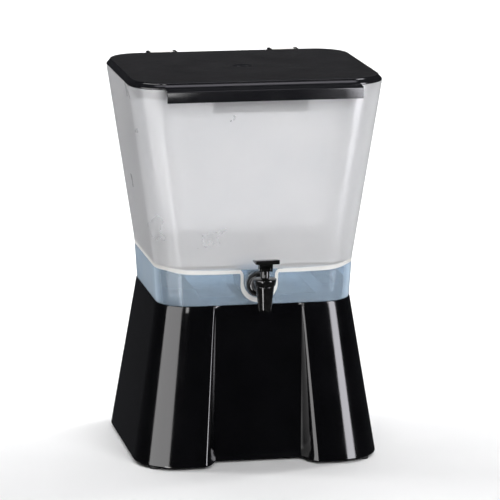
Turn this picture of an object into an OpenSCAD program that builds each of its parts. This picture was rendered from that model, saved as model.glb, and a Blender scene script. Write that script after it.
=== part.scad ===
// Counter-top drink dispenser: a translucent tank on a flared stand, with a hinged lid and a lever tap.
// Millimetres, +Z up. The front, with the tap, faces -Y. The origin is under the middle of the whole
// dispenser's depth and width, on the surface it stands on. Each module draws about the middle of the
// stand instead, and placed() moves its shape to that origin.

/* [Overall] */
// Height of the lid's flat top above the table
total_h = 540; // [520:1:560]
// Height of the line where the tank's skirt sits on the stand
seat_h = 225; // [222:1:228]
// Height of the tank's inside floor
floor_h = 281; // [280:1:286]

/* [Tank] */
// Width over the rim
rim_w = 355; // [345:1:365]
// Depth over the rim
rim_d = 289; // [280:1:300]
// Width at the floor
waist_w = 281; // [278:1:284]
// Depth at the floor
waist_d = 254; // [251:1:257]
// Width at the skirt's lower edge
skirt_w = 274; // [272:1:276]
// Depth at the skirt's lower edge
skirt_d = 248; // [246:1:250]
// Corner radius at the rim
rim_r = 52; // [46:1:58]
// Corner radius at the skirt
skirt_r = 47; // [43:1:50]
// Wall thickness
tank_wall = 2.5; // [2:0.1:3]
// Radius of the trough that drains to the tap
sump_r = 26; // [25:0.5:27]

/* [Lid] */
// Thickness of the lid's edge above the rim
lid_h = 9; // [8:0.5:11]
// How far the flat top is set in from the edge
lid_inset = 6.5; // [5:0.5:8]
// Width of the front pull
pull_w = 271; // [240:1:290]
// How far the front pull stands out from the rim
pull_out = 25; // [20:1:28]
// Height of the front pull's face
pull_h = 17.7; // [14:0.1:20]

/* [Stand] */
// Width at the bottom
foot_w = 344.6; // [330:0.1:356]
// Depth at the bottom
foot_d = 319; // [305:1:330]
// Corner radius at the bottom
foot_r = 63; // [55:1:68]
// Wall thickness
stand_wall = 3; // [2.5:0.1:3.5]
// Half the width of the upright panel between the front legs
panel_half = 61; // [50:1:70]
// Height of the rubber feet
pad_h = 4.5; // [4:0.1:6]

/* [Tap] */
// Height of the tap's inlet
tap_h = 254; // [252:0.5:255]
// Distance from the tank wall's outside to the tap's upright axis
tap_reach = 39.5; // [37:0.5:44]
// Length of the lever's paddle across the tap
paddle_w = 33; // [26:1:38]

/* [Hidden] */
$fn = 64;
eps = 0.01;
far = 200;              // past the outside of any shape that is cut
arc_n = 8;              // steps in each faceted corner

// Tank levels
rim_h = total_h - lid_h;
rest_gap = 0.3;         // space drawn between pieces that rest on each other
waist_r = skirt_r + 1;
floor_t = 4;

// Stand
shoulder_z = seat_h - rest_gap;
seat_lip = 1;           // the stand's shoulder stands this far proud of the skirt
top_w = skirt_w + 2 * seat_lip;
top_d = skirt_d + 2 * seat_lip;
toe_h = 14;             // the front panel's toe begins at this height
toe_out = 5;            // and stands out this far at the bottom
panel_inset = 1.5;      // the front panel starts this far behind the shoulder
flank_n = 6;            // steps across the side of each front leg
flank_top = 2;          // width of that side at the shoulder
flank_low = 18;         // and at the bottom
deck_gap = 4.5;         // clearance from the deck to the skirt's outside
deck_low = 12;          // the deck's middle above the shoulder
deck_high = 24;         // the deck's side rails above the shoulder
notch_half = 31;        // half the width of the deck's notch under the sump
rail_in = 90;           // where the side rails begin
deck_slope = 8;         // run of each of the deck's sloping steps
sill_h = 1;             // height of the notch floor above the shoulder
notch_back = -42;       // the notch ends here
rib_t = 2;
rib_x = [-70, -40, 40, 70];
rib_y = [-25, 20, 65];
rib_low = shoulder_z - 20;
shelf_t = 3;            // corner shelves that hold the feet
pad_r = 8;
pad_stem_r = 3;
pad_inset = 1.5;        // from a foot's edge to the stand's outline
shelf_w = 28;

// Sump
sump_fillet = 11;
sump_back = -52;        // back of the sump at floor level
sump_toe = -92;         // back of the sump at its lowest
valley_back = 22;
valley_half = 82;
valley_drop = 7;

// Lid
lid_t = 2.7;
plug_gap = 1.5;
plug_low = rim_h - 14;
plug_t = 2;
tongue_half = 66;
tongue_low = rim_h - 36;
tongue_t = 2.5;
tongue_gap = 10;        // from the rim's outside to the tongue
pull_t = 3;
pull_drop = 5.7;        // the pull's ledge below the lid's top
dish_r = 17;
dish_depth = 1.2;
lid_rib_t = 2;
lid_rib_x = [-100:50:100];
lid_rib_y = [-60:60:60];
lid_rib_end = [140, 120]; // how far the ribs reach across and front to back

// Lid hinge
hinge_y = rim_d / 2 + 12.5;
hinge_z = rim_h + 2.5;
ear_r = 6.5;
ear_t = 3.5;
ear_x = [69.5, 108];    // middles of the two ears of the right-hand hinge
lug_r = 6;
lug_side_gap = 0.5;
lug_web_h = 8;          // height of the web that carries each lug, down from the rim
pin_r = 2;
pin_clear = 0.08;
pin_head_r = 3.2;
pin_head_t = 1.5;

// Tap. Its upright axis stands in front of the tank wall, whose slope is levelled by a round pad.
wall_y = -(skirt_d / 2 + 2.5);
pad_face_r = 20;
pad_face_t = 6;
tap_y = wall_y - tap_reach;
spout_low = tap_h - 29.5;
spout_r = 8.8;
shoulder_h = tap_h + 5.5;
shoulder_r = 12.9;
neck_r = 12.2;
neck_h = tap_h + 12;
spout_bore = 6.5;
chamber_r = 9.6;
seat_z = tap_h - 8;
inlet_r = 6;
inlet_cone_r = 12.5;    // the inlet widens to this where it meets the flange
flange_r = 15.5;
flange_t = 3;
shank_r = 7.9;
shank_end = wall_y + 25.5;
shank_bore = 4.5;
washer_t = 2;
washer_r = 17.6;
tank_hole_clear = 0.4;
washer_clear = 0.2;
nut_clear = 0.05;
inner_washer_r = 13;
nut_r = 21;
nut_t = 8;
thread_pitch = 2;
thread_depth = 0.5;
gasket_t = 1.2;
cap_low = tap_h + 6.4;
cap_high = tap_h + 16.4;
cap_r = 15.9;
post_r = 6.3;
post_high = tap_h + 32.5;
stem_r = 3;
stem_clear = 0.15;
stem_head_z = post_high + 1.8;
stem_head_r = 4.4;
stem_head_t = 2;
pivot_y = tap_y - 5.5;
pivot_z = tap_h + 29.5;
pivot_boss_r = 2.9;
lever_pin_r = 1.5;
cheek_in = 6.8;
cheek_out = 9.2;
paddle_low = tap_h + 39.5;
paddle_t = 6.3;         // at the front, where a thumb rests
paddle_back_t = 2.4;
paddle_front = tap_y - 20.5;
paddle_back = tap_y + 4;
finger_in = 3.3;
finger_t = 1.3;
spring_wire = 0.5;
spring_r = 5.4;
spring_turns = 4.5;
spring_steps = 14;      // in each turn
spring_sides = 6;
yoke_low = pivot_z + 4.5;
cup_r = 8;
cup_high = tap_h + 2;

// The dispenser's foremost and rearmost points, which set its origin
front_y = min(paddle_front, -rim_d / 2 - pull_out, -foot_d / 2);
back_y = max(hinge_y + ear_r, foot_d / 2);

// ---- shared shapes ----

// A rounded rectangle as a ring of points at height z, anticlockwise from above.
function ring(w, d, r, z) = [
    for (c = [0:3], i = [0:arc_n])
        let (a = 90 * c + 90 * i / arc_n,
             sx = (c == 0 || c == 3) ? 1 : -1,
             sy = (c < 2) ? 1 : -1)
        [sx * (w / 2 - r) + r * cos(a), sy * (d / 2 - r) + r * sin(a), z]];

// The same ring one millimetre lower, to cut right through a bottom face.
function dropped(r) = [for (p = r) [p[0], p[1], p[2] - 1]];

// A closed skin over rings that all have the same number of points, lowest first.
module loft(rings) {
    n = len(rings[0]);
    top = (len(rings) - 1) * n;
    polyhedron(
        points = [for (r = rings) each r],
        faces = [
            [for (i = [0:n - 1]) i],
            [for (i = [n - 1:-1:0]) top + i],
            for (k = [0:len(rings) - 2], i = [0:n - 1])
                each let (j = (i + 1) % n, a = k * n + i, b = k * n + j)
                    [[a, a + n, b + n], [a, b + n, b]]]);
}

// A cylinder lying along X from x0 to x1.
module rod_x(r, x0, x1, y, z) {
    translate([x0, y, z]) rotate([0, 90, 0]) cylinder(r = r, h = x1 - x0);
}

// A cylinder lying along Y on the tap's inlet axis from y0 to y1.
module rod_y(r, y0, y1) {
    translate([0, y1, tap_h]) rotate([90, 0, 0]) cylinder(r = r, h = y1 - y0);
}

// A block given by its lowest and highest corners.
module block(lo, hi) {
    translate(lo) cube(hi - lo);
}

// A shape turned about the tap's upright axis, drawn as [radius, height] points.
module tap_turned(points) {
    translate([0, tap_y, 0]) rotate_extrude() polygon(points);
}

module both_sides() {
    children();
    mirror([1, 0, 0]) children();
}

// ---- tank ----

// Width or depth of the tank's outside at height z.
function between(a, b, lo, hi, z) = a + (b - a) * (z - lo) / (hi - lo);
function tank_ring(z, o) =
    z <= floor_h
    ? ring(between(skirt_w, waist_w, seat_h, floor_h, z) - 2 * o,
           between(skirt_d, waist_d, seat_h, floor_h, z) - 2 * o,
           between(skirt_r, waist_r, seat_h, floor_h, z) - o, z)
    : ring(between(waist_w, rim_w, floor_h, rim_h, z) - 2 * o,
           between(waist_d, rim_d, floor_h, rim_h, z) - 2 * o,
           between(waist_r, rim_r, floor_h, rim_h, z) - o, z);

module tank_outside() {
    loft([tank_ring(seat_h, 0), tank_ring(floor_h, 0), tank_ring(rim_h, 0)]);
}

// The trough's section across the tank: a round bottom that flares into the floor.
module sump_section(o) {
    r = sump_r - o;
    f = sump_fillet + o;
    top = floor_h - tap_h;
    circle(r);
    translate([-r, 0]) square([2 * r, top + eps]);
    difference() {
        translate([-r - f, top - f]) square([2 * (r + f), f + eps]);
        for (s = [-1, 1]) translate([s * (r + f), top - f]) circle(f);
    }
}

module sump(o) {
    intersection() {
        translate([0, -10, tap_h]) rotate([90, 0, 0]) linear_extrude(far) sump_section(o);
        rotate([90, 0, 90]) translate([0, 0, -60]) linear_extrude(120)
            polygon([[-far, seat_h], [sump_toe - o, seat_h], [sump_back - o, floor_h + eps],
                     [-far, floor_h + eps]]);
    }
}

// A shallow valley in the floor that falls towards the sump, deepest at its front.
module valley(o) {
    front = sump_back - 6;
    side = sump_r + sump_fillet;
    polyhedron(
        points = [[-side - o, front, floor_h + eps], [side + o, front, floor_h + eps],
                  [valley_half + o, valley_back + o, floor_h + eps],
                  [-valley_half - o, valley_back + o, floor_h + eps],
                  [-side / 2, front, floor_h - valley_drop - o],
                  [side / 2, front, floor_h - valley_drop - o]],
        faces = [[3, 2, 1, 0], [0, 1, 5, 4], [2, 3, 4, 5], [0, 4, 3], [1, 2, 5]]);
}

module hinge_lug() {
    x0 = ear_x[0] + ear_t / 2 + lug_side_gap;
    x1 = ear_x[1] - ear_t / 2 - lug_side_gap;
    rod_x(lug_r, x0, x1, hinge_y, hinge_z);
    block([x0, rim_d / 2 - 1.5, rim_h - lug_web_h], [x1, hinge_y, rim_h - rest_gap]);
}

module tank() color([0.86, 0.88, 0.9]) {
    difference() {
        union() {
            difference() {
                tank_outside();
                loft([tank_ring(seat_h, tank_wall) + [for (p = tank_ring(seat_h, 0)) [0, 0, -1]],
                      tank_ring(floor_h - floor_t, tank_wall)]);
            }
            intersection() {
                tank_outside();
                union() {
                    sump(0);
                    valley(tank_wall);
                }
            }
            rod_y(pad_face_r, wall_y, wall_y + pad_face_t);
            both_sides() hinge_lug();
        }
        loft([tank_ring(floor_h + eps, tank_wall),
              tank_ring(rim_h, tank_wall) + [for (p = tank_ring(rim_h, 0)) [0, 0, 1]]]);
        difference() {
            sump(tank_wall);
            block([-far, -far, seat_h - 20], [far, wall_y + pad_face_t, floor_h + 20]);
        }
        valley(0);
        rod_y(shank_r + tank_hole_clear, wall_y - 1, wall_y + 20);
        both_sides() rod_x(pin_r + pin_clear, ear_x[0], ear_x[1], hinge_y, hinge_z);
    }
}

// ---- lid ----

// Lid outlines: the edge, then a rounded shoulder up to the flat top.
function lid_ring(inset, z) = ring(rim_w - 2 * inset, rim_d - 2 * inset, rim_r - inset, z);

module lid_shell() {
    difference() {
        loft([lid_ring(0, rim_h + rest_gap), lid_ring(0.4, rim_h + lid_h * 0.35),
              lid_ring(lid_inset * 0.45, rim_h + lid_h * 0.75),
              lid_ring(lid_inset * 0.8, rim_h + lid_h * 0.96), lid_ring(lid_inset, total_h)]);
        loft([lid_ring(tank_wall, rim_h), lid_ring(tank_wall + 0.6, rim_h + lid_h * 0.35),
              lid_ring(lid_inset + 1.5, total_h - lid_t)]);
    }
}

module lid_plug() {
    o = tank_wall + plug_gap;
    taper = 1.6;
    difference() {
        loft([lid_ring(o + taper, plug_low), lid_ring(o, rim_h), lid_ring(o + 3, total_h - 1)]);
        loft([lid_ring(o + taper + plug_t, plug_low - 1), lid_ring(o + plug_t, rim_h),
              lid_ring(o + plug_t + 3, total_h)]);
    }
}

module lid_pull() {
    front = -rim_d / 2 - pull_out;
    high = total_h - pull_drop;
    block([-pull_w / 2, front, high - pull_t], [pull_w / 2, -rim_d / 2 + 1.5, high]);
    block([-pull_w / 2, front, high - pull_h], [pull_w / 2, front + pull_t, high]);
}

module lid_ear(x) {
    rod_x(ear_r, x - ear_t / 2, x + ear_t / 2, hinge_y, hinge_z);
    block([x - ear_t / 2, rim_d / 2 - 2, rim_h + rest_gap], [x + ear_t / 2, hinge_y, total_h]);
}

module lid() color([0.03, 0.03, 0.035]) {
    difference() {
        union() {
            lid_shell();
            difference() {
                lid_plug();
                block([-far, -far, total_h - 1], [far, far, total_h + 5]);
            }
            block([-tongue_half, -rim_d / 2 + tongue_gap, tongue_low],
                  [tongue_half, -rim_d / 2 + tongue_gap + tongue_t, total_h - 1]);
            for (x = lid_rib_x)
                block([x - lid_rib_t / 2, -lid_rib_end[1], rim_h],
                      [x + lid_rib_t / 2, lid_rib_end[1], total_h - 1]);
            for (y = lid_rib_y)
                block([-lid_rib_end[0], y - lid_rib_t / 2, rim_h],
                      [lid_rib_end[0], y + lid_rib_t / 2, total_h - 1]);
            lid_pull();
            both_sides() for (x = ear_x) lid_ear(x);
        }
        translate([0, 0, total_h - dish_depth]) cylinder(r = dish_r, h = 5);
        both_sides() rod_x(pin_r, ear_x[0] - 5, ear_x[1] + 5, hinge_y, hinge_z);
    }
}

module hinge_pin() color([0.05, 0.05, 0.055]) {
    x0 = ear_x[0] - ear_t / 2;
    x1 = ear_x[1] + ear_t / 2;
    rod_x(pin_r, x0 - pin_head_t, x1 + pin_head_t, hinge_y, hinge_z);
    rod_x(pin_head_r, x0 - pin_head_t, x0, hinge_y, hinge_z);
    rod_x(pin_head_r, x1, x1 + pin_head_t, hinge_y, hinge_z);
}

// ---- stand ----

// The stand's outline at height z, set in by o. Its front has an upright panel between two flaring legs.
function stand_ring(z, o, toe) =
    let (t = (shoulder_z - z) / (shoulder_z - pad_h),
         w = between(top_w, foot_w, 0, 1, t) / 2 - o,
         d = between(top_d, foot_d, 0, 1, t) / 2 - o,
         r = between(skirt_r + seat_lip, foot_r, 0, 1, t) - o,
         panel = top_d / 2 - panel_inset - o + toe,
         half = panel_half + o,
         flank = between(flank_top, flank_low, 0, 1, t),
         side = [for (i = [0:flank_n])
                    let (s = i / flank_n)
                    [half + flank * (1 - s), -panel - (d - panel) * (1 + cos(180 * s)) / 2]])
    [for (c = [0:3]) each concat(
        c == 3 ? [for (p = side) [-p[0], p[1], z]] : [],
        c == 3 ? [for (i = [flank_n:-1:0]) [side[i][0], side[i][1], z]] : [],
        [for (i = [0:arc_n])
            let (a = 90 * c + 90 * i / arc_n,
                 sx = (c == 0 || c == 3) ? 1 : -1,
                 sy = (c < 2) ? 1 : -1)
            [sx * (w - r) + r * cos(a), sy * (d - r) + r * sin(a), z]])];

module stand_shell() {
    difference() {
        loft([stand_ring(pad_h, 0, toe_out), stand_ring(toe_h, 0, 0), stand_ring(shoulder_z, 0, 0)]);
        loft([dropped(stand_ring(pad_h, stand_wall, toe_out)), stand_ring(pad_h, stand_wall, toe_out),
              stand_ring(toe_h, stand_wall, 0),
              stand_ring(shoulder_z - stand_wall, stand_wall, 0)]);
    }
}

// The deck's section across the stand, set in by o: side rails, a lower middle and the sump's notch.
module deck_section(o, notched) {
    side = skirt_w / 2 - deck_gap - o;
    low = shoulder_z + deck_low - o;
    high = shoulder_z + deck_high - o;
    base = shoulder_z - stand_wall / 2 - 1.5 * o;
    rail = rail_in + o / 2;
    half = [[side, base], [side, high], [rail, high], [rail - deck_slope, low]];
    notch = notched ? [[notch_half + o, low], [notch_half - 6 + o, shoulder_z + sill_h - 1.6 * o]] : [];
    right = concat(half, notch);
    polygon(concat(right, [for (i = [len(right) - 1:-1:0]) [-right[i][0], right[i][1]]]));
}

module deck_solid(o) {
    intersection() {
        translate([0, 0, shoulder_z - 50]) linear_extrude(100)
            polygon([for (p = ring(skirt_w - 2 * deck_gap - 2 * o, skirt_d - 2 * deck_gap - 2 * o,
                                   skirt_r - deck_gap - o, 0)) [p[0], p[1]]]);
        union() {
            translate([0, notch_back + o + 20, 0]) rotate([90, 0, 0])
                linear_extrude(220) deck_section(o, true);
            translate([0, 200, 0]) rotate([90, 0, 0])
                linear_extrude(200 - notch_back - o) deck_section(o, false);
        }
    }
}

// A web between two points, with a rounded lower edge.
module web(a, b, top) {
    hull() {
        for (p = [a, b]) {
            translate(p) sphere(r = rib_t / 2, $fn = 8);
            translate([p[0] - rib_t / 2, p[1] - rib_t / 2, top - 1]) cube([rib_t, rib_t, 1]);
        }
    }
}

// Webs under the deck: long ones front to back, crossed by others that reach into the side rails.
module deck_ribs() {
    bury = stand_wall / 2;
    end_y = skirt_d / 2 - deck_gap - bury;
    end_x = skirt_w / 2 - deck_gap - bury;
    low = shoulder_z + deck_low - bury;
    for (x = rib_x)
        web([x, -end_y, rib_low], [x, end_y, rib_low], low);
    for (y = rib_y) {
        web([-rail_in, y, rib_low + 1], [rail_in, y, rib_low + 1], low);
        both_sides()
            web([rail_in, y, rib_low + 1], [end_x, y, rib_low + 1], shoulder_z + deck_high - bury);
    }
}

function pad_centre(sx, sy) = [
    sx * (foot_w / 2 - foot_r + (foot_r - pad_r - pad_inset) * cos(45)),
    sy * (foot_d / 2 - foot_r + (foot_r - pad_r - pad_inset) * sin(45))];

// Shelves across the bottom corners, each with a hole for a foot's stem.
module foot_shelves() {
    difference() {
        intersection() {
            loft([stand_ring(pad_h, 1, 0), stand_ring(toe_h, 1, 0)]);
            for (sx = [-1, 1], sy = [-1, 1])
                let (c = pad_centre(sx, sy))
                translate([c[0], c[1], pad_h]) rotate([0, 0, 45])
                    translate([-shelf_w / 2, -shelf_w / 2, 0]) cube([shelf_w, shelf_w, shelf_t]);
        }
        for (sx = [-1, 1], sy = [-1, 1])
            let (c = pad_centre(sx, sy))
            translate([c[0], c[1], 0]) cylinder(r = pad_stem_r, h = 20);
    }
}

module stand() color([0.02, 0.02, 0.022]) {
    difference() {
        union() {
            stand_shell();
            deck_solid(0);
        }
        deck_solid(stand_wall);
    }
    deck_ribs();
    foot_shelves();
}

module foot(sx, sy) color([0.06, 0.06, 0.06]) {
    c = pad_centre(sx, sy);
    translate([c[0], c[1], 0]) rotate_extrude()
        polygon([[0, 0], [pad_r - 0.8, 0], [pad_r, 0.8], [pad_r, pad_h], [pad_stem_r, pad_h],
                 [pad_stem_r, pad_h + shelf_t], [pad_stem_r + 1, pad_h + shelf_t],
                 [pad_stem_r - 0.6, pad_h + shelf_t + 3], [0, pad_h + shelf_t + 3]]);
}

// ---- tap ----

module tap_body() color([0.03, 0.03, 0.03]) {
    flange_front = wall_y - washer_t - flange_t;
    cone_start = tap_y + cap_r + 1;
    difference() {
        union() {
            tap_turned([[0, spout_low], [spout_r - 1, spout_low], [spout_r, spout_low + 1],
                        [shoulder_r, shoulder_h], [neck_r, shoulder_h], [neck_r, neck_h],
                        [0, neck_h]]);
            rod_y(inlet_r, tap_y + 4, flange_front);
            translate([0, cone_start, tap_h]) rotate([-90, 0, 0])
                cylinder(r1 = inlet_r, r2 = inlet_cone_r, h = flange_front + eps - cone_start);
            rod_y(flange_r, flange_front, wall_y - washer_t);
            rod_y(shank_r - thread_depth, flange_front + 1, shank_end);
            for (y = [wall_y + 1:thread_pitch:shank_end - thread_pitch])
                thread_ridge(y);
        }
        translate([0, tap_y, spout_low - 1]) cylinder(r = spout_bore, h = seat_z - spout_low + 2);
        translate([0, tap_y, seat_z]) cylinder(r = chamber_r, h = 40);
        rod_y(shank_bore, tap_y, shank_end + 1);
    }
}

// One ridge of the shank's thread.
module thread_ridge(y) {
    translate([0, y, tap_h]) rotate([-90, 0, 0]) rotate_extrude()
        polygon([[0, 0], [shank_r - thread_depth, 0], [shank_r, thread_pitch * 0.35],
                 [shank_r, thread_pitch * 0.55], [shank_r - thread_depth, thread_pitch * 0.9],
                 [0, thread_pitch * 0.9]]);
}

module tap_bonnet() color([0.03, 0.03, 0.03]) {
    ceiling = neck_h + gasket_t;
    difference() {
        union() {
            tap_turned([[0, cap_low], [cap_r - 1.7, cap_low], [cap_r, cap_high - 2],
                        [cap_r - 0.4, cap_high - 0.9], [cap_r - 1.5, cap_high], [post_r, cap_high],
                        [post_r, post_high - 3.5], [post_r - 0.5, post_high - 1.7],
                        [post_r - 1.6, post_high - 0.4], [post_r - 2.3, post_high], [0, post_high]]);
            rod_x(pivot_boss_r, -post_r, post_r, pivot_y, pivot_z);
        }
        translate([0, tap_y, cap_low - 1]) cylinder(r = neck_r + 0.1, h = ceiling - cap_low + 1);
        translate([0, tap_y, cap_low]) cylinder(r = stem_r + stem_clear, h = 60);
        tap_turned([[0, cap_high + 2], [stem_r + 1.6, cap_high + 2], [stem_r + 1.6, cap_high + 4],
                    [0, cap_high + 4]]);
        rod_x(lever_pin_r + pin_clear, -20, 20, pivot_y, pivot_z);
    }
}

module bonnet_gasket() color([0.75, 0.75, 0.72]) {
    tap_turned([[chamber_r, neck_h], [neck_r, neck_h], [neck_r, neck_h + gasket_t],
                [chamber_r, neck_h + gasket_t]]);
}

module stem_seal() color([0.1, 0.1, 0.1]) {
    translate([0, tap_y, cap_high + 3]) rotate_extrude()
        translate([stem_r + 0.85, 0]) circle(r = 0.7, $fn = 24);
}

module valve_stem() color([0.04, 0.04, 0.04]) {
    tap_turned([[0, seat_z + 2], [stem_r + 1.5, seat_z + 2], [stem_r + 1.5, seat_z + 4],
                [stem_r, seat_z + 4], [stem_r, stem_head_z], [stem_head_r, stem_head_z],
                [stem_head_r, stem_head_z + stem_head_t], [0, stem_head_z + stem_head_t]]);
}

module seat_cup() color([0.8, 0.8, 0.78]) {
    difference() {
        tap_turned([[0, seat_z + 0.1], [spout_bore + 1, seat_z + 0.1], [cup_r, seat_z + 1.5],
                    [cup_r, seat_z + 4], [cup_r - 1.5, cup_high], [0, cup_high]]);
        tap_turned([[0, seat_z + 2], [stem_r + 1.5, seat_z + 2], [stem_r + 1.5, seat_z + 4],
                    [stem_r, seat_z + 4], [stem_r, cup_high + 1], [0, cup_high + 1]]);
    }
}

// A round-wire coil swept as one closed skin.
module closing_spring() color([0.7, 0.7, 0.72]) {
    low = cup_high + spring_wire + 0.1;
    high = neck_h + gasket_t - spring_wire - 0.1;
    n = ceil(spring_turns * spring_steps);
    translate([0, tap_y, 0]) loft([for (k = [0:n])
        let (a = 360 * k / spring_steps, z = low + (high - low) * k / n)
        [for (i = [0:spring_sides - 1])
            let (b = -360 * i / spring_sides, r = spring_r + spring_wire * cos(b))
            [r * cos(a), r * sin(a), z + spring_wire * sin(b)]]]);
}

module tap_lever() color([0.03, 0.03, 0.03]) {
    difference() {
        union() {
            rotate([90, 0, 90]) translate([0, 0, -paddle_w / 2]) linear_extrude(paddle_w)
                polygon([[paddle_front, paddle_low], [paddle_back, paddle_low],
                         [paddle_back, paddle_low + paddle_back_t],
                         [paddle_front, paddle_low + paddle_t]]);
            both_sides() {
                block([cheek_in, pivot_y - pivot_boss_r, pivot_z], [cheek_out, tap_y + 3, paddle_low]);
                rod_x(pivot_boss_r, cheek_in, cheek_out, pivot_y, pivot_z);
                block([finger_in, pivot_y - pivot_boss_r, stem_head_z - finger_t - 0.2],
                      [cheek_in, tap_y + 1, stem_head_z - 0.2]);
            }
            block([-cheek_out, pivot_y - pivot_boss_r, yoke_low],
                  [cheek_out, pivot_y - 1, paddle_low]);
        }
        rod_x(lever_pin_r, -20, 20, pivot_y, pivot_z);
    }
}

module lever_pin() color([0.5, 0.5, 0.52]) {
    rod_x(lever_pin_r, -cheek_out - 0.3, cheek_out + 0.3, pivot_y, pivot_z);
}

module washer(r, y) {
    difference() {
        rod_y(r, y, y + washer_t);
        rod_y(shank_r + washer_clear, y - 1, y + washer_t + 1);
    }
}

module outer_washer() color([0.05, 0.05, 0.05]) washer(washer_r, wall_y - washer_t);

module inner_washer() color([0.05, 0.05, 0.05]) washer(inner_washer_r, wall_y + pad_face_t);

module mounting_nut() color([0.05, 0.05, 0.05]) {
    y = wall_y + pad_face_t + washer_t;
    difference() {
        translate([0, y + nut_t, tap_h]) rotate([90, 0, 0]) cylinder(r = nut_r, h = nut_t, $fn = 6);
        rod_y(shank_r + nut_clear, y - 1, y + nut_t + 1);
    }
}

// Moves a shape from the middle of the stand to the middle of the whole dispenser.
module placed() {
    translate([0, -(front_y + back_y) / 2, 0]) children();
}

placed() stand();
placed() foot(-1, -1);  // foot_front_left
placed() foot(1, -1);  // foot_front_right
placed() foot(-1, 1);  // foot_back_left
placed() foot(1, 1);  // foot_back_right
placed() tank();
placed() lid();
placed() mirror([1, 0, 0]) hinge_pin();  // hinge_pin_left
placed() hinge_pin();  // hinge_pin_right
placed() tap_body();
placed() tap_bonnet();
placed() bonnet_gasket();
placed() stem_seal();
placed() valve_stem();
placed() seat_cup();
placed() closing_spring();
placed() tap_lever();
placed() lever_pin();
placed() outer_washer();
placed() inner_washer();
placed() mounting_nut();
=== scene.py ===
import bmesh
import bpy
import math
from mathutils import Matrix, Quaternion, Vector


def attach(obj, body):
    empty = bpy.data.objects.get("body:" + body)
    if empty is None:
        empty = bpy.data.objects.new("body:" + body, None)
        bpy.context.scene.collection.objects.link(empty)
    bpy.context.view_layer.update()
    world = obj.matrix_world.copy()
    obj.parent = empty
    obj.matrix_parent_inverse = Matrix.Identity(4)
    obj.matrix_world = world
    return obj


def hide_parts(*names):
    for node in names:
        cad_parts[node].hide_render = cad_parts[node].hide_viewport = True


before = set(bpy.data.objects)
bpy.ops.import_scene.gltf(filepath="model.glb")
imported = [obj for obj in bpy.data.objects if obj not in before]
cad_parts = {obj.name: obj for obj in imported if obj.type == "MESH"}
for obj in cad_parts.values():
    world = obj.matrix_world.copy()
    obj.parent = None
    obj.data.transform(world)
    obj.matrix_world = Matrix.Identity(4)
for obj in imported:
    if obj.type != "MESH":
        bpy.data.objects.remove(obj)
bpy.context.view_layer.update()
MM = 0.001
scene = bpy.context.scene

# ---- sizes in millimetres, the same as in the part's source ----
TOTAL_H, SEAT_H, FLOOR_H = 540.0, 225.0, 281.0
# tank: its rim, its waist at the floor, and the foot of its skirt
RIM_W, RIM_D, RIM_R, RIM_H = 355.0, 289.0, 52.0, 531.0
WAIST_W, WAIST_D, WAIST_R = 281.0, 254.0, 48.0
SKIRT_W, SKIRT_D, SKIRT_R = 274.0, 248.0, 47.0
WALL, FLOOR_T = 2.5, 4.0
SUMP_R, SUMP_FILLET, SUMP_BACK, SUMP_TOE = 26.0, 11.0, -52.0, -92.0
VALLEY_BACK, VALLEY_HALF, VALLEY_DROP = 22.0, 82.0, 7.0
# how far the pale bead at the floor hangs down along the front, and half the width over which it does
BEAD_SAG, BEAD_HALF = 5.5, 128.0
# lid
LID_T = 2.7
PULL_W, PULL_OUT, PULL_H, PULL_DROP = 271.0, 25.0, 17.7, 5.7
DISH_R, DOT_X = 17.0, 6.0
HINGE_Y, HINGE_Z, HINGE_R = 157.0, 533.5, 6.0
EAR_X, EAR_T, LUG_GAP = (69.5, 108.0), 3.5, 2.25
# stand
FOOT_W, FOOT_D, FOOT_R, PAD_H = 344.6, 319.0, 63.0, 4.5
STAND_WALL, PANEL_HALF = 3.0, 61.0
SHOULDER = 224.7
TOP_W, TOP_D, TOP_R = 276.0, 250.0, 48.0
DECK_GAP, WEB_T = 4.5, 2.0
# tap
TAP_H = 254.0
WALL_Y = -126.5
TAP_Y = WALL_Y - 39.5
TAP_HOLE_R, SHANK_R, WAY_R, OUTLET_R, CHAMBER_R = 8.3, 7.4, 4.5, 6.5, 9.6
PIVOT_Y, PIVOT_Z, BOSS_R = TAP_Y - 5.5, TAP_H + 29.5, 2.9
LEVER_HALF, CHEEK_X, FINGER_X = 16.5, (6.8, 9.2), (3.3, 7.2)
# pieces are drawn about the stand's middle, and this moves them back (+Y) into the shared frame
SHIFT_Y = 11.5


# ---- mesh tools ----
def make(name, verts, faces):
    mesh = bpy.data.meshes.new(name)
    mesh.from_pydata([tuple(v) for v in verts], [], faces)
    obj = bpy.data.objects.new(name, mesh)
    scene.collection.objects.link(obj)
    bm = bmesh.new()
    bm.from_mesh(mesh)
    bmesh.ops.recalc_face_normals(bm, faces=bm.faces)
    bm.to_mesh(mesh)
    bm.free()
    return obj


def skin(name, rings):
    """A closed solid through rings that all have the same number of points."""
    n = len(rings[0])
    verts = [p for r in rings for p in r]
    faces = [tuple(range(n))[::-1], tuple(range(len(verts) - n, len(verts)))]
    for k in range(len(rings) - 1):
        for i in range(n):
            j = (i + 1) % n
            faces.append((k * n + i, k * n + j, (k + 1) * n + j, (k + 1) * n + i))
    return make(name, verts, faces)


def hollow_skin(name, rings):
    """Like skin, but the last ring joins the first, so the solid is a closed band."""
    n, m = len(rings[0]), len(rings)
    verts = [p for r in rings for p in r]
    faces = []
    for k in range(m):
        for i in range(n):
            j, up = (i + 1) % n, (k + 1) % m
            faces.append((k * n + i, k * n + j, up * n + j, up * n + i))
    return make(name, verts, faces)


def prism_y(name, outline, lo, hi):
    """An (x, z) outline carried along Y."""
    return skin(name, [[(x, y, z) for x, z in outline] for y in (lo, hi)])


def prism_x(name, outline, lo, hi):
    """A (y, z) outline carried along X."""
    return skin(name, [[(x, y, z) for y, z in outline] for x in (lo, hi)])


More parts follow.
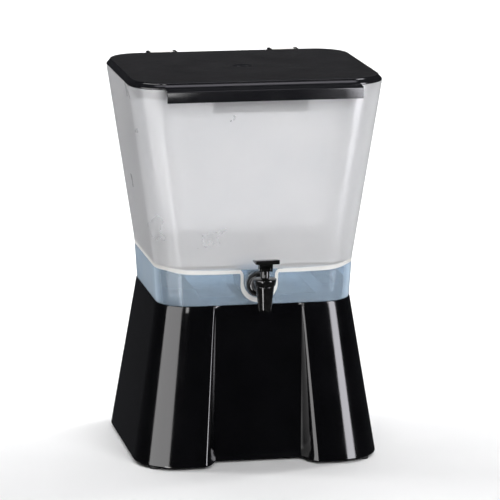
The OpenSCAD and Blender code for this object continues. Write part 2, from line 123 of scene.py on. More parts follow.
def brick(name, lo, hi):
    return prism_x(name, [(lo[1], lo[2]), (hi[1], lo[2]), (hi[1], hi[2]), (lo[1], hi[2])], lo[0], hi[0])


def turned(name, profile, centre, axis="z", steps=72):
    """(radius, height) points turned about an axis through centre. Points on the axis close the ends."""
    verts, rows = [], []
    for r, h in profile:
        row = []
        count = 1 if r < 1e-6 else steps
        for i in range(count):
            a = 2 * math.pi * i / steps
            u, v = r * math.cos(a), r * math.sin(a)
            local = {"z": (u, v, h), "y": (u, h, v), "x": (h, u, v)}[axis]
            row.append(len(verts))
            verts.append(tuple(c + d for c, d in zip(centre, local)))
        rows.append(row)
    faces = []
    for a, b in zip(rows, rows[1:]):
        for i in range(steps):
            j = (i + 1) % steps
            quad = [a[i % len(a)], a[j % len(a)], b[j % len(b)], b[i % len(b)]]
            quad = [p for k, p in enumerate(quad) if p not in quad[:k]]
            if len(quad) > 2:
                faces.append(tuple(quad))
    for row, turn in ((rows[0], -1), (rows[-1], 1)):
        if len(row) > 1:
            faces.append(tuple(row[::turn]))
    return make(name, verts, faces)


def rod(name, r, lo, hi, centre, axis="z", steps=72):
    """A plain cylinder from lo to hi along an axis through centre."""
    return turned(name, [(0, lo), (r, lo), (r, hi), (0, hi)], centre, axis, steps)


def sides(near, far):
    """The spans along X from near to far, on the left and on the right."""
    return [(-far, -near), (near, far)]


def apply_modifiers(obj):
    bpy.context.view_layer.update()
    done = bpy.data.meshes.new_from_object(obj.evaluated_get(bpy.context.evaluated_depsgraph_get()))
    obj.modifiers.clear()
    old = obj.data
    obj.data = done
    bpy.data.meshes.remove(old)


def combine(a, others, how):
    for b in others:
        solid = a.modifiers.new("solid", "BOOLEAN")
        solid.object, solid.operation, solid.solver = b, how, "EXACT"
        apply_modifiers(a)
        bpy.data.objects.remove(b)
    return a


def add(a, *others):
    return combine(a, others, "UNION")


def cut(a, *others):
    return combine(a, others, "DIFFERENCE")


def common(a, *others):
    return combine(a, others, "INTERSECT")


def soften(obj, width, angle):
    """Rounds the edges that turn by more than angle degrees."""
    bevel = obj.modifiers.new("edges", "BEVEL")
    bevel.width, bevel.segments = width, 2
    bevel.limit_method, bevel.angle_limit = "ANGLE", math.radians(angle)
    bevel.miter_outer = "MITER_ARC"
    bevel.use_clamp_overlap = True
    apply_modifiers(obj)
    return obj


def rect_ring(w, d, r, z, arc=14, mid=5):
    """A rounded rectangle at height z, anticlockwise from above."""
    x, y = w / 2 - r, d / 2 - r
    # where the straight side after each corner ends
    ends = [(-x, d / 2, z), (-w / 2, -y, z), (x, -d / 2, z), (w / 2, y, z)]
    out = []
    for c, b in enumerate(ends):
        sx = 1 if c in (0, 3) else -1
        sy = 1 if c < 2 else -1
        for i in range(arc + 1):
            a = math.radians(90 * c + 90 * i / arc)
            out.append((sx * x + r * math.cos(a), sy * y + r * math.sin(a), z))
        a = out[-1]
        out += [tuple(a[k] + (b[k] - a[k]) * m / (mid + 1) for k in range(3)) for m in range(1, mid + 1)]
    return out


def mix(a, b, t):
    return a + (b - a) * t


def finish_piece(obj, body, nodes, slot, *materials, smooth=32):
    """Scales to metres, shades, gives materials, and ties the piece to its body."""
    mesh = obj.data
    for v in mesh.vertices:
        v.co.y += SHIFT_Y
        v.co *= MM
    for p in mesh.polygons:
        p.use_smooth = True
    mesh.set_sharp_from_angle(angle=math.radians(smooth))
    index = [p.material_index for p in mesh.polygons]
    mesh.materials.clear()
    for m in materials:
        mesh.materials.append(m)
    for p, i in zip(mesh.polygons, index):
        p.material_index = min(i, len(materials) - 1)
    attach(obj, body)
    if nodes:
        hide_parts(*nodes)
    return obj


# ---- materials ----
def plastic(name, dark, light, rough, scale=60.0, grain=0.0, grain_scale=2500.0, seen_through=None, **sockets):
    """Moulded plastic: colour and roughness drift slowly over the surface, and a fine grain lifts it.

    seen_through is how much light a thin milky wall lets through, square on and at a slant, where the
    light's way through it is longer.
    """
    mat = bpy.data.materials.new(name)
    mat.use_nodes = True
    nodes, links = mat.node_tree.nodes, mat.node_tree.links
    shader = nodes["Principled BSDF"]
    where = nodes.new("ShaderNodeTexCoord")
    drift = nodes.new("ShaderNodeTexNoise")
    drift.inputs["Scale"].default_value = scale
    drift.inputs["Detail"].default_value = 4.0
    links.new(where.outputs["Object"], drift.inputs["Vector"])
    tint = nodes.new("ShaderNodeValToRGB")
    tint.color_ramp.elements[0].position, tint.color_ramp.elements[0].color = 0.3, (*dark, 1)
    tint.color_ramp.elements[1].position, tint.color_ramp.elements[1].color = 0.7, (*light, 1)
    links.new(drift.outputs["Fac"], tint.inputs["Fac"])
    links.new(tint.outputs["Color"], shader.inputs["Base Color"])
    sheen = nodes.new("ShaderNodeMapRange")
    sheen.inputs["From Min"].default_value, sheen.inputs["From Max"].default_value = 0.3, 0.7
    sheen.inputs["To Min"].default_value, sheen.inputs["To Max"].default_value = rough
    links.new(drift.outputs["Fac"], sheen.inputs["Value"])
    links.new(sheen.outputs["Result"], shader.inputs["Roughness"])
    if seen_through:
        slant = nodes.new("ShaderNodeLayerWeight")
        slant.inputs["Blend"].default_value = 0.5
        clear = nodes.new("ShaderNodeMapRange")
        clear.inputs["From Min"].default_value, clear.inputs["From Max"].default_value = 0.35, 0.75
        clear.inputs["To Min"].default_value, clear.inputs["To Max"].default_value = seen_through
        links.new(slant.outputs["Facing"], clear.inputs["Value"])
        links.new(clear.outputs["Result"], shader.inputs["Transmission Weight"])
    if grain:
        fine = nodes.new("ShaderNodeTexNoise")
        fine.inputs["Scale"].default_value = grain_scale
        fine.inputs["Detail"].default_value = 2.0
        links.new(where.outputs["Object"], fine.inputs["Vector"])
        bump = nodes.new("ShaderNodeBump")
        bump.inputs["Strength"].default_value = grain
        bump.inputs["Distance"].default_value = 0.0002
        links.new(fine.outputs["Fac"], bump.inputs["Height"])
        links.new(bump.outputs["Normal"], shader.inputs["Normal"])
    for key, value in sockets.items():
        shader.inputs[key.replace("_", " ").title().replace("Ior", "IOR")].default_value = value
    return mat


milky = plastic("tank_milky", (0.84, 0.845, 0.86), (0.88, 0.88, 0.89), (0.27, 0.33), 14.0, 0.03, 900.0,
                seen_through=(0.62, 0.3), ior=1.2, coat_weight=0.7, coat_roughness=0.24)
# the skirt below the bead: its darker bluish grey is partly painted shade of the black stand seen through the
# wall, and partly the light it lets through
skirt = plastic("tank_skirt_painted_shade", (0.64, 0.78, 0.92), (0.69, 0.82, 0.94), (0.13, 0.17), 14.0, 0.02, 900.0,
                seen_through=(0.8, 0.3), ior=1.1, coat_weight=0.7, coat_roughness=0.2)
# the floor's heavier plastic: its small emission is a painted glow for the bright line where the floor meets
# the wall
thick_painted_glow = plastic("tank_thick_painted_glow", (0.8, 0.79, 0.765), (0.84, 0.83, 0.805), (0.45, 0.55), 14.0, 0.03, 900.0,
                transmission_weight=0.15, ior=1.2, emission_color=(1.0, 0.98, 0.93, 1.0),
                emission_strength=0.02)
gloss_black = plastic("stand_gloss", (0.001, 0.001, 0.0014), (0.0018, 0.0018, 0.0024), (0.09, 0.14), 22.0,
                      0.02, 1800.0)
lid_black = plastic("lid_satin", (0.013, 0.0127, 0.0137), (0.017, 0.0168, 0.018), (0.42, 0.52), 40.0,
                    0.35, 3200.0, specular_ior_level=0.2)
lid_gloss = plastic("lid_edge", (0.006, 0.006, 0.0075), (0.009, 0.009, 0.0105), (0.12, 0.2), 40.0, 0.05, 2500.0)
tap_black = plastic("tap_gloss", (0.004, 0.004, 0.004), (0.007, 0.007, 0.0065), (0.07, 0.16), 160.0,
                    0.08, 1500.0)
rubber = plastic("rubber", (0.012, 0.012, 0.012), (0.022, 0.022, 0.022), (0.6, 0.8), 200.0, 0.4, 4000.0)
silicone = plastic("silicone", (0.62, 0.62, 0.6), (0.72, 0.72, 0.69), (0.4, 0.55), 150.0, 0.15, 3000.0)
steel = plastic("steel_wire", (0.42, 0.42, 0.43), (0.55, 0.55, 0.56), (0.22, 0.36), 400.0, 0.1, 5000.0,
                metallic=1.0)


# ---- tank ----
# the heights at which the wall has points of its own: up the skirt, and up the wall above the floor's bend
SKIRT_LEVELS = (240, 258, 272)
WALL_LEVELS = (283, 285, 287, 290, 330, 380, 430, 480)


def tank_outline(z, o):
    """The tank's outline at height z, o inside the outer face."""
    if z <= FLOOR_H:
        t = (z - SEAT_H) / (FLOOR_H - SEAT_H)
        w, d, r = mix(SKIRT_W, WAIST_W, t), mix(SKIRT_D, WAIST_D, t), mix(SKIRT_R, WAIST_R, t)
    else:
        t = (z - FLOOR_H) / (RIM_H - FLOOR_H)
        w, d, r = mix(WAIST_W, RIM_W, t), mix(WAIST_D, RIM_D, t), mix(WAIST_R, RIM_R, t)
    # the kink at the floor is a soft bend
    near = max(0.0, 1 - abs(z - FLOOR_H) / 6.0)
    w, d = w + 0.55 * near * near, d + 0.3 * near * near
    return rect_ring(w - 2 * o, d - 2 * o, r - o, z)


def sump_outline(o, lift=0.01):
    """The trough's section in (x, z): a round bottom that flares into the floor."""
    r, f = SUMP_R - o, SUMP_FILLET + o
    out = [(-r - f, FLOOR_H + lift)]
    for i in range(11):
        a = math.radians(90 - 9 * i)
        out.append((-r - f + f * math.cos(a), FLOOR_H - f + f * math.sin(a)))
    for i in range(1, 32):
        a = math.radians(180 + 180 * i / 32)
        out.append((r * math.cos(a), TAP_H + r * math.sin(a)))
    out += [(-x, z) for x, z in out[10::-1]] + [(r + f, FLOOR_H + lift)]
    return out


def sump(o):
    """The trough from the valley to the front wall, o smaller all round, with its sloping back end."""
    body = prism_y("sump", sump_outline(o), -210, -10)
    wedge = prism_x("wedge", [(-215, SEAT_H), (SUMP_TOE - o, SEAT_H), (SUMP_BACK - o, FLOOR_H + 0.02),
                              (-215, FLOOR_H + 0.02)], -60, 60)
    return common(body, wedge)


def valley(o):
    """The shallow slope in the floor that leads to the trough."""
    front, side = SUMP_BACK - 6, SUMP_R + SUMP_FILLET
    top = FLOOR_H + 0.03
    verts = [(-side - o, front, top), (side + o, front, top), (VALLEY_HALF + o, VALLEY_BACK + o, top),
             (-VALLEY_HALF - o, VALLEY_BACK + o, top), (-side / 2, front, FLOOR_H - VALLEY_DROP - o),
             (side / 2, front, FLOOR_H - VALLEY_DROP - o)]
    return make("valley", verts, [(3, 2, 1, 0), (0, 1, 5, 4), (2, 3, 4, 5), (0, 4, 3), (1, 2, 5)])


def tank_skin(name, o, levels):
    """A solid through the tank's outline at each level, o inside the outer face."""
    return skin(name, [tank_outline(z, o) for z in levels])


def build_tank():
    outer = [tank_outline(SEAT_H, 0.5), tank_outline(SEAT_H + 0.35, 0.12)]
    outer += [tank_outline(z, 0) for z in (226, *SKIRT_LEVELS, 275, 277, 279, 280, 281, 282, *WALL_LEVELS, 530)]
    outer += [tank_outline(530.65, 0.15), tank_outline(RIM_H, 0.6)]
    tank = skin("tank_shell", outer)
    under = [[(x, y, SEAT_H - 5) for x, y, z in tank_outline(SEAT_H, WALL)]]
    under += [tank_outline(z, WALL) for z in (SEAT_H, *SKIRT_LEVELS, FLOOR_H - FLOOR_T)]
    cut(tank, skin("under", under))
    outside = tank_skin("outside", 0.01, (226, *SKIRT_LEVELS, 277, 281))
    pan = sump(0)
    add(pan, valley(WALL))
    common(pan, outside)
    # the flat pad round the tap's hole
    pad = [(0, WALL_Y), (19, WALL_Y), (20, WALL_Y + 0.8), (20, WALL_Y + 6), (0, WALL_Y + 6)]
    add(tank, pan, turned("pad", pad, (0, 0, TAP_H), "y"))
    for x0, x1 in sides(EAR_X[0] + LUG_GAP, EAR_X[1] - LUG_GAP):
        lug = rod("lug", HINGE_R, x0, x1, (0, HINGE_Y, HINGE_Z), "x", 40)
        web = brick("web", (x0, 143, RIM_H - 8), (x1, HINGE_Y, RIM_H - 0.3))
        add(lug, web)
        add(tank, lug)
    inside = [tank_outline(z, WALL) for z in (281.01, *WALL_LEVELS, RIM_H)]
    inside += [[(x, y, RIM_H + 5) for x, y, z in inside[-1]]]
    cut(tank, skin("inside", inside))
    well = sump(WALL)
    cut(well, brick("front_stop", (-200, -230, 200), (200, WALL_Y + 6, 300)))
    cut(tank, well, valley(0))
    cut(tank, rod("hole", TAP_HOLE_R, WALL_Y - 2, WALL_Y + 20, (0, 0, TAP_H), "y"))
    for x0, x1 in sides(*EAR_X):
        cut(tank, rod("bore", 2.08, x0, x1, (0, HINGE_Y, HINGE_Z), "x", 32))
    # the floor and the hinge lugs take the heavier plastic, with its faint painted glow, and the skirt below
    # the bead takes the bluish one, whose blue-grey is partly painted shade of the dark stand behind
    for p in tank.data.polygons:
        c = p.center
        flat = abs(p.normal.z) > 0.3 and FLOOR_H - FLOOR_T - 12 < c.z < FLOOR_H + 2
        p.material_index = 1 if flat or abs(c.y) > 145 else 2 if c.z < FLOOR_H - BEAD_SAG else 0
    return tank


def bead_ring(o, dz):
    """A ring round the tank's wall that sags along the front, as the floor does there."""
    ring = []
    for i, (x, y, _) in enumerate(tank_outline(FLOOR_H + dz, o)):
        sag = BEAD_SAG * (1 - min(1.0, abs(x) / BEAD_HALF) ** 6) if y < 0 else 0.0
        ring.append(tank_outline(FLOOR_H + dz - sag, o)[i])
    return ring


def bead_trough(o, lift):
    """The trough's section with its flared top brought down to the sagging floor."""
    return [(x, z - BEAD_SAG if z > TAP_H + 8 else z) for x, z in sump_outline(o, lift)]


def build_root():
    """The thicker root where the floor meets the tank's wall, a pale bead let into the wall's face, in plastic
    with a faint painted glow.
    """
    section = [(-0.05, -6.2), (-0.05, -1.0), (0.5, -0.4), (0.5, -6.6)]
    band = hollow_skin("tank_root", [bead_ring(o, dz) for o, dz in section])
    return cut(band, prism_y("trough_cut", bead_trough(0, 8.0), -150, -100))


def build_trough_root():
    """The same bead where the trough meets the wall."""
    ring = prism_y("trough_root", bead_trough(-0.3, 0.5), -140, -116)
    gap = [(x * 0.85, TAP_H + 3.4 + (z - TAP_H) * 0.85) for x, z in bead_trough(0, 8.0)]
    cut(ring, prism_y("trough_gap", gap, -150, -100))
    top = FLOOR_H - BEAD_SAG - 1.0
    common(ring, tank_skin("outer_limit", -0.08, (220, *SKIRT_LEVELS, top)))
    return cut(ring, tank_skin("inner_limit", 0.55, (210, *SKIRT_LEVELS, 290)))


finish_piece(build_tank(), "tank", ["tank"], "tank_plastic", milky, thick_painted_glow, skirt)
finish_piece(build_root(), "tank", [], "tank_plastic", thick_painted_glow)
finish_piece(build_trough_root(), "tank", [], "tank_plastic", thick_painted_glow)


# ---- stand ----
def stand_outline(z, o, toe=0.0):
    """The stand's outline at height z: rounded corners, two front legs and the panel set back between them."""
    t = (SHOULDER - z) / (SHOULDER - PAD_H)
    w, d = mix(TOP_W, FOOT_W, t) / 2 - o, mix(TOP_D, FOOT_D, t) / 2 - o
    r = mix(TOP_R, FOOT_R, t) - o
    panel = TOP_D / 2 - 0.8 - o + toe
    half, flank = PANEL_HALF + o, mix(3.0, 21.0, t)
    side = []
    for i in range(15):
        s = i / 14
        side.append((half + flank * (1 - s), -panel - (d - panel) * math.cos(math.radians(90 * s)) ** 0.85))
    out = []
    for c in range(4):
        sx = 1 if c in (0, 3) else -1
        sy = 1 if c < 2 else -1
        if c == 3:
            out += [(-x, y, z) for x, y in side]
            out += [(half * (2 * k / 8 - 1), -panel, z) for k in range(1, 8)]
            out += [(x, y, z) for x, y in side[::-1]]
        for i in range(17):
            a = math.radians(90 * c + 90 * i / 16)
            out.append((sx * (w - r) + r * math.cos(a), sy * (d - r) + r * math.sin(a), z))
    return out


def toe_at(z):
    """How far the panel's lower edge curls forward at height z."""
    return 5.0 * max(0.0, (14.0 - z) / 9.5) ** 1.6


def deck_outline(o, notched):
    """The raised deck in (x, z): two side rails, with a notch for the trough in front."""
    side, low, high = SKIRT_W / 2 - DECK_GAP - o, SHOULDER + 12 - o, SHOULDER + 24 - o
    base, rail = SHOULDER - 1.5 - 1.5 * o, 90 + o / 2
    half = [(side, base), (side, high), (rail, high), (rail - 8, low)]
    if notched:
        half += [(31 + o, low), (25 + o, SHOULDER + 1 - 1.6 * o)]
    return half + [(-x, z) for x, z in half[::-1]]


def deck(o):
    w, d, r = SKIRT_W - 2 * DECK_GAP - 2 * o, SKIRT_D - 2 * DECK_GAP - 2 * o, SKIRT_R - DECK_GAP - o
    column = skin("deck", [rect_ring(w, d, r, z) for z in (175, 275)])
    rails = prism_y("rails", deck_outline(o, True), -200, -22 + o)
    add(rails, prism_y("rails_back", deck_outline(o, False), -42 + o, 200))
    return common(column, rails)


def build_stand():
    levels = [PAD_H + 1.2, 7, 8.5, 10, 12, 14, 20, 35, 60, 90, 120, 150, 180, 200, 215, SHOULDER - 1.2]
    rings = [stand_outline(PAD_H, 1.0, toe_at(PAD_H)), stand_outline(PAD_H + 0.4, 0.35, toe_at(PAD_H + 0.4))]
    rings += [stand_outline(z, 0, toe_at(z)) for z in levels]
    rings += [stand_outline(SHOULDER - 0.4, 0.3), stand_outline(SHOULDER, 1.0)]
    stand = skin("stand_shell", rings)
    add(stand, deck(0))
    hollow = [stand_outline(PAD_H - 2, STAND_WALL, toe_at(PAD_H))]
    for z in (PAD_H, 7, 10, 14, 60, 120, 180, SHOULDER - STAND_WALL):
        hollow.append(stand_outline(z, STAND_WALL, toe_at(z)))
    cut(stand, skin("hollow", hollow), deck(STAND_WALL))
    return stand


def add_webs(stand):
    """The webs under the deck, front to back and then side to side."""
    for x in (-70, -40, 40, 70):
        add(stand, brick("web", (x - WEB_T / 2, -118, 204.7), (x + WEB_T / 2, 118, SHOULDER + 10)))
    for y in (-25, 20, 65):
        add(stand, brick("web", (-89, y - WEB_T / 2, 205.7), (89, y + WEB_T / 2, SHOULDER + 10)))


def add_foot(stand, sx, sy):
    """A shelf with a hole in the stand's corner, and the rubber foot whose stem sits in it."""
    reach = (FOOT_R - 9.5) * math.cos(math.radians(45))
    cx, cy = sx * (FOOT_W / 2 - FOOT_R + reach), sy * (FOOT_D / 2 - FOOT_R + reach)
    shelf = rod("shelf", 13, PAD_H, PAD_H + 3, (cx, cy, 0))
    common(shelf, skin("shelf_limit", [stand_outline(z, 1.2, 0) for z in (PAD_H - 1, PAD_H + 6)]))
    cut(shelf, rod("stem_hole", 3, 0, 20, (cx, cy, 0)))
    add(stand, shelf)
    corner = ("front" if sy < 0 else "back") + ("_left" if sx < 0 else "_right")
    profile = [(0, 0), (7, 0), (7.7, 0.25), (8, 0.9), (8, PAD_H - 0.05), (3, PAD_H - 0.05),
               (2.95, PAD_H + 3.05), (4, PAD_H + 3.1), (3.7, PAD_H + 4.4), (2.2, PAD_H + 6), (0, PAD_H + 6)]
    pad = turned("pad_" + corner, profile, (cx, cy, 0), "z", 48)
    finish_piece(pad, "stand", ["foot_" + corner], "foot_rubber", rubber)


stand = build_stand()
add_webs(stand)
for sx in (-1, 1):
    for sy in (-1, 1):
        add_foot(stand, sx, sy)
finish_piece(stand, "stand", ["stand"], "stand_plastic", gloss_black)


# ---- lid ----
def lid_outline(inset, z):
    return rect_ring(RIM_W - 2 * inset, RIM_D - 2 * inset, RIM_R - inset, z)


def lid_cap():
    """The flat top with its rounded shoulder and rim, hollow underneath."""
    low = RIM_H + 0.3
    rings = [lid_outline(0.5, low), lid_outline(0.12, low + 0.3), lid_outline(0.05, low + 0.9)]
    rings += [lid_outline(0.7, low + 2.4), lid_outline(3.9, low + 6.0)]
    for i in range(6):
        a = math.radians(90 * i / 6)
        rings.append(lid_outline(4.5 + 2.4 * (1 - math.cos(a)), low + 6.3 + 2.4 * math.sin(a)))
    rings.append(lid_outline(7.2, TOTAL_H))
    lid = skin("lid_shell", rings)
    return cut(lid, skin("lid_under", [lid_outline(WALL, low - 2), lid_outline(WALL, low),
                                       lid_outline(WALL + 2, low + 3), lid_outline(9, TOTAL_H - LID_T)]))


def lid_plug():
    """The upright band inside the lid's rim, which drops into the tank."""
    o = WALL + 1.5
    plug = skin("plug", [lid_outline(o + 1.9, 517), lid_outline(o + 1.6, 517.5), lid_outline(o, RIM_H),
                         lid_outline(o + 4, TOTAL_H - 1)])
    return cut(plug, skin("plug_hollow", [lid_outline(o + 3.6, 510), lid_outline(o + 2, RIM_H),
                                          lid_outline(o + 6, TOTAL_H)]))


def lid_pull():
    """The pull: a ledge that falls slightly to a rounded lip, an upright face below it, and end gussets."""
    edge, front, high = -RIM_D / 2, -RIM_D / 2 - PULL_OUT, TOTAL_H - PULL_DROP
    shape = [(front + 3, high - PULL_H), (front + 0.6, high - PULL_H), (front, high - PULL_H + 0.6),
             (front, high - 4.2), (front + 0.35, high - 3.0), (front + 1.2, high - 2.2),
             (front + 2.4, high - 1.8), (front + 14, high - 0.6), (edge + 4.5, high), (edge + 4.5, high - 2.6),
             (front + 5, high - 4.4), (front + 3.2, high - 5.2)]
    pull = soften(prism_x("pull", shape, -PULL_W / 2, PULL_W / 2), 0.5, 50)
    gusset = [(front + 2, high - 4), (edge + 2, high - 1.2), (edge + 2, high - 2.4),
              (front + 2, high - PULL_H + 5)]
    for x0, x1 in sides(PULL_W / 2 - 3.2, PULL_W / 2 - 0.6):
        add(pull, prism_x("gusset", gusset, x0, x1))
    return pull


def lid_ear(x):
    """One of the four hinge ears, with its pin hole."""
    x0, x1 = x - EAR_T / 2, x + EAR_T / 2
    r = HINGE_R + 0.5
    profile = [(0, x0), (HINGE_R, x0), (r, x0 + 0.5), (r, x1 - 0.5), (HINGE_R, x1), (0, x1)]
    ear = turned("ear", profile, (0, HINGE_Y, HINGE_Z), "x", 40)
    add(ear, brick("ear_web", (x0, 141, RIM_H + 0.3), (x1, HINGE_Y, TOTAL_H - 0.05)))
    return cut(ear, rod("ear_hole", 2.0, x0 - 1, x1 + 1, (0, HINGE_Y, HINGE_Z), "x", 32))


def build_lid():
    lid = lid_cap()
    add(lid, lid_plug())
    for x in range(-100, 101, 50):
        add(lid, brick("rib", (x - 1, -120, RIM_H), (x + 1, 120, TOTAL_H - 1)))
    for y in (-60, 0, 60):
        add(lid, brick("rib", (-140, y - 1, RIM_H), (140, y + 1, TOTAL_H - 1)))
    tongue = brick("tongue", (-66, -RIM_D / 2 + 10, RIM_H - 36), (66, -RIM_D / 2 + 12.5, TOTAL_H - 1))
    add(lid, soften(tongue, 0.8, 30))
    add(lid, lid_pull())
    for s in (-1, 1):
        for x in EAR_X:
            add(lid, lid_ear(s * x))
    # a shallow dish at the lid's middle, with two small raised dots
    dish = [(0, TOTAL_H - 1.2), (11, TOTAL_H - 1.1), (14, TOTAL_H - 0.7), (DISH_R, TOTAL_H + 0.05),
            (DISH_R, TOTAL_H + 4), (0, TOTAL_H + 4)]
    cut(lid, turned("dish", dish, (0, 0, 0)))
    dot = [(0, TOTAL_H - 1.6), (2.6, TOTAL_H - 1.6), (2.4, TOTAL_H - 0.8), (1.4, TOTAL_H - 0.35),
           (0, TOTAL_H - 0.25)]
    for x in (-DOT_X, DOT_X):
        add(lid, turned("dot", dot, (x, 0, 0), "z", 32))
    # satin on the flat top, gloss on everything else
    for p in lid.data.polygons:
        on_top = p.normal.z > 0.9 and p.center.z > TOTAL_H - 0.4
        p.material_index = 0 if on_top and p.center.y > -RIM_D / 2 + 5 else 1
    return lid


finish_piece(build_lid(), "lid", ["lid"], "lid_plastic", lid_black, lid_gloss)


# ---- tap ----
def shank_profile():
    """The shank that goes through the tank's wall: a plain end and rings in place of a thread."""
    start, pitch, crest = WALL_Y - 3, 2, SHANK_R + 0.5
    out = [(0, start), (SHANK_R, start)]
    y = WALL_Y + 1
    while y < WALL_Y + 23.5:
        out += [(SHANK_R, y), (crest, y + 0.7), (crest, y + 1.1), (SHANK_R, y + 1.8)]
        y += pitch
    return out + [(SHANK_R, WALL_Y + 24.8), (6.8, WALL_Y + 25.5), (0, WALL_Y + 25.5)]


def build_tap_body():
    """The spout and chamber, the inlet that flares to its flange, and the shank, in one moulding."""
    low = TAP_H - 29.5
    profile = [(0, low), (6.9, low), (8.2, low + 0.3), (8.8, low + 1.2), (9.2, low + 4), (12.7, TAP_H + 4.2),
               (12.9, TAP_H + 5.2), (12.6, TAP_H + 5.9), (12.2, TAP_H + 6), (12.2, TAP_H + 12), (0, TAP_H + 12)]
    body = turned("tap_shell", profile, (0, TAP_Y, 0))
    neck = [(0, TAP_Y + 4), (6, TAP_Y + 4), (6, TAP_Y + 16), (6.8, TAP_Y + 17.2), (12.2, WALL_Y - 6.2),
            (13.6, WALL_Y - 5.3), (15, WALL_Y - 5), (15.5, WALL_Y - 4.4), (15.5, WALL_Y - 2), (0, WALL_Y - 2)]
    add(body, turned("neck", neck, (0, 0, TAP_H), "y"))
    add(body, turned("shank", shank_profile(), (0, 0, TAP_H), "y", 48))
    cut(body, rod("outlet", OUTLET_R, low - 2, TAP_H - 6, (0, TAP_Y, 0)))
    cut(body, rod("chamber", CHAMBER_R, TAP_H - 8, TAP_H + 30, (0, TAP_Y, 0)))
    return cut(body, rod("way", WAY_R, TAP_Y, WALL_Y + 30, (0, 0, TAP_H), "y", 40))


def build_bonnet():
    """The screw cap and the post that carries the lever."""
    c, top = TAP_H + 16.4, TAP_H + 32.5
    profile = [(0, TAP_H + 6.4), (13.8, TAP_H + 6.4), (14.3, TAP_H + 6.9), (15.7, c - 2.6), (15.9, c - 1.7),
               (15.6, c - 0.8), (14.8, c - 0.2), (13.6, c + 0.25), (9, c + 0.9), (6.9, c + 1.3), (6.35, c + 2),
               (6.3, top - 4.6), (6.0, top - 3.0), (5.3, top - 1.4), (4.4, top - 0.4), (3.7, top), (0, top)]
    bonnet = turned("bonnet", profile, (0, TAP_Y, 0))
    # a rounded rib stands on the post's front and carries the lever's pin
    rib = [(0, -6.3), (2.5, -6.3), (BOSS_R, -5.9), (BOSS_R, 5.9), (2.5, 6.3), (0, 6.3)]
    add(bonnet, turned("rib", rib, (0, PIVOT_Y, PIVOT_Z), "x", 40))
    bore = [(0, TAP_H), (12.3, TAP_H), (12.3, TAP_H + 13.2), (3.15, TAP_H + 13.2), (3.15, top + 5),
            (0, top + 5)]
    cut(bonnet, turned("bonnet_bore", bore, (0, TAP_Y, 0)))
    cut(bonnet, rod("bonnet_groove", 4.6, c + 2, c + 4, (0, TAP_Y, 0), "z", 40))
    return cut(bonnet, rod("pin_bore", 1.58, -20, 20, (0, PIVOT_Y, PIVOT_Z), "x", 32))


def build_lever():
    """The wedge-shaped paddle, its yoke, and two cheeks with the fingers that lift the stem."""
    low, front, back = TAP_H + 39.5, TAP_Y - 20.5, TAP_Y + 4
    shape = [(front + 0.8, low + 0.1), (front, low + 0.9), (front, low + 5.3), (front + 0.9, low + 6.1),
             (front + 4, low + 5.6), (back - 1.2, low + 2.5), (back, low + 1.9), (back, low + 0.6),
             (back - 1, low), (front + 8, low)]
    lever = soften(prism_x("lever", shape, -LEVER_HALF, LEVER_HALF), 0.5, 60)
    yoke = [(-9.2, PIVOT_Z + 4.5), (9.2, PIVOT_Z + 4.5), (9.6, low + 0.6), (-9.6, low + 0.6)]
    add(lever, prism_y("yoke", yoke, PIVOT_Y - BOSS_R, PIVOT_Y - 1))
    stem_top = TAP_H + 34.3
    for (x0, x1), (f0, f1) in zip(sides(*CHEEK_X), sides(*FINGER_X)):
        cheek = brick("cheek", (x0, PIVOT_Y - BOSS_R, PIVOT_Z), (x1, TAP_Y + 3, low + 0.5))
        add(cheek, rod("eye", BOSS_R, x0, x1, (0, PIVOT_Y, PIVOT_Z), "x", 40))
        add(cheek, brick("finger", (f0, PIVOT_Y - BOSS_R, stem_top - 1.5), (f1, TAP_Y + 1, stem_top - 0.2)))
        add(lever, cheek)
    return cut(lever, rod("pin_hole", 1.5, -20, 20, (0, PIVOT_Y, PIVOT_Z), "x", 32))


finish_piece(build_tap_body(), "tank", ["tap_body"], "tap_plastic", tap_black)
finish_piece(build_bonnet(), "tank", ["tap_bonnet"], "tap_plastic", tap_black, smooth=38)
finish_piece(build_lever(), "lever", ["tap_lever"], "tap_plastic", tap_black, smooth=38)

# CAD nodes that stay as they are take a material of their own
for node, mat in {"hinge_pin_left": lid_gloss, "hinge_pin_right": lid_gloss, "bonnet_gasket": silicone,
                  "stem_seal": rubber, "valve_stem": tap_black, "seat_cup": silicone, "closing_spring": steel,
                  "lever_pin": steel, "outer_washer": rubber, "inner_washer": rubber,
                  "mounting_nut": tap_black}.items():
    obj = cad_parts[node]
    obj.data.materials.clear()
    obj.data.materials.append(mat)

# ---- stage, light and camera ----
def cyclorama():
    """A pale floor, in metres, that curves up into a backdrop. Reflections do not see it."""
    half, front, bend_y, bend_r, top = 6.0, -4.0, 2.6, 1.4, 5.0
    section = [(front, 0.0)]
    for degrees in range(0, 91, 5):
        a = math.radians(degrees)
        section.append((bend_y + bend_r * math.sin(a), bend_r - bend_r * math.cos(a)))
    section += [(bend_y + bend_r, top)]
    verts = [(x, y, z) for x in (-half, half) for y, z in section]
    n = len(section)
    floor = make("floor", verts, [(i, i + 1, n + i + 1, n + i) for i in range(n - 1)])
    for p in floor.data.polygons:
        p.use_smooth = True
    mat = plastic("floor_paint", (0.86, 0.86, 0.865), (0.9, 0.9, 0.9), (0.7, 0.85), 3.0)
    floor.data.materials.append(mat)
    floor.visible_glossy = False


cyclorama()


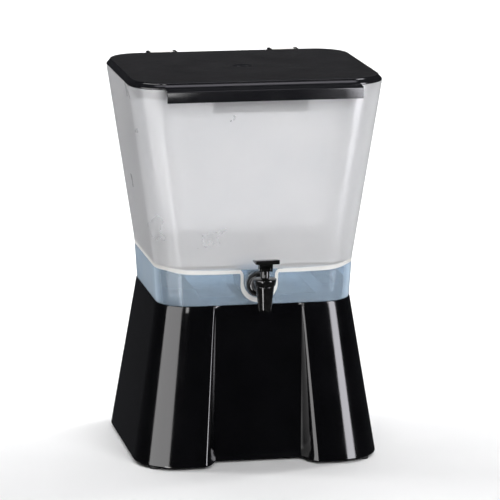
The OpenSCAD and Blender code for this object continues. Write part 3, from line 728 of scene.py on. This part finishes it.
def softbox(name, place, target, width, height, radiance, colour=(1, 1, 1), glossy=True, diffuse=True):
    """A rectangular light, in metres, whose brightness is given as radiance, so its size can change freely.

    Lights without glossy are not mirrored in the object, and lights without diffuse are only mirrored in it.
    """
    data = bpy.data.lights.new(name, "AREA")
    data.shape, data.size, data.size_y = "RECTANGLE", width, height
    data.energy = radiance * math.pi * width * height
    data.color = colour
    lamp = bpy.data.objects.new(name, data)
    lamp.location = place
    lamp.rotation_euler = (Vector(target) - Vector(place)).to_track_quat("-Z", "Y").to_euler()
    lamp.visible_glossy = glossy
    lamp.visible_diffuse = diffuse
    lamp.visible_transmission = diffuse
    lamp.visible_camera = False
    scene.collection.objects.link(lamp)


softbox("left_box", (-1.42, -0.88, 0.5), (0, 0, 0.3), 1.6, 1.9, 4.6, (1.0, 0.99, 1.0), diffuse=False)
softbox("right_box", (1.23, -1.27, 0.6), (0, 0, 0.3), 0.66, 1.9, 12.0, (0.95, 0.94, 1.0), diffuse=False)
softbox("tap_strip", (-0.55, -1.9, 1.0), (0, -0.15, 0.26), 0.3, 0.9, 7.0, diffuse=False)
# below the floor, which reflections pass through: it shows in faces that lean downwards, on the tap and tank
softbox("low_strip", (-1.09, -1.45, -0.585), (0, -0.15, 0.26), 0.4, 0.9, 12.0, diffuse=False)
# shows in the lid's rounded edges
softbox("edge_strip", (0.0, -0.3, 2.4), (0, -0.15, 0.5), 1.6, 0.5, 2.6, (0.93, 0.9, 1.0), diffuse=False)
softbox("top_box", (0.0, 0.5, 1.9), (0, 0, 0.4), 1.6, 1.2, 2.6, glossy=False)
softbox("front_fill", (0.7, -2.6, 1.5), (0, 0, 0.3), 1.8, 1.4, 6.6, glossy=False)
softbox("front_floor", (0.0, -1.9, 2.2), (0, -0.5, 0.0), 2.4, 1.2, 2.0, glossy=False)
softbox("back_left", (-2.2, 0.9, 2.2), (-0.8, 4.0, 0.9), 2.0, 1.6, 12.0, glossy=False)
softbox("back_right", (2.2, 0.9, 2.2), (0.8, 4.0, 0.9), 2.0, 1.6, 12.0, glossy=False)

world = bpy.data.worlds.new("studio")
world.use_nodes = True
world.node_tree.nodes["Background"].inputs["Color"].default_value = (0.9, 0.92, 1.0, 1)
world.node_tree.nodes["Background"].inputs["Strength"].default_value = 0.035
scene.world = world
scene.view_settings.view_transform = "Standard"

# the photo's angle, from the height looked at and from far away
AIM_Z, CAMERA_FAR = 0.2696, 4.86
az, el, roll = math.radians(-11.11), math.radians(11.96), math.radians(0.20)
back = Vector((math.sin(az) * math.cos(el), -math.cos(az) * math.cos(el), math.sin(el)))
cam_data = bpy.data.cameras.new("camera")
cam_data.sensor_width = 36.0
cam_data.lens = 247.2
cam_data.shift_x, cam_data.shift_y = 8.27 / 500, 4.11 / 500
cam_data.clip_start, cam_data.clip_end = 0.1, 100
camera = bpy.data.objects.new("camera", cam_data)
camera.location = Vector((0, SHIFT_Y * MM, AIM_Z)) + back * CAMERA_FAR
camera.rotation_mode = "QUATERNION"
look = (-back).to_track_quat("-Z", "Y")
look.rotate(Quaternion(back, roll))
camera.rotation_quaternion = look
scene.collection.objects.link(camera)
scene.camera = camera
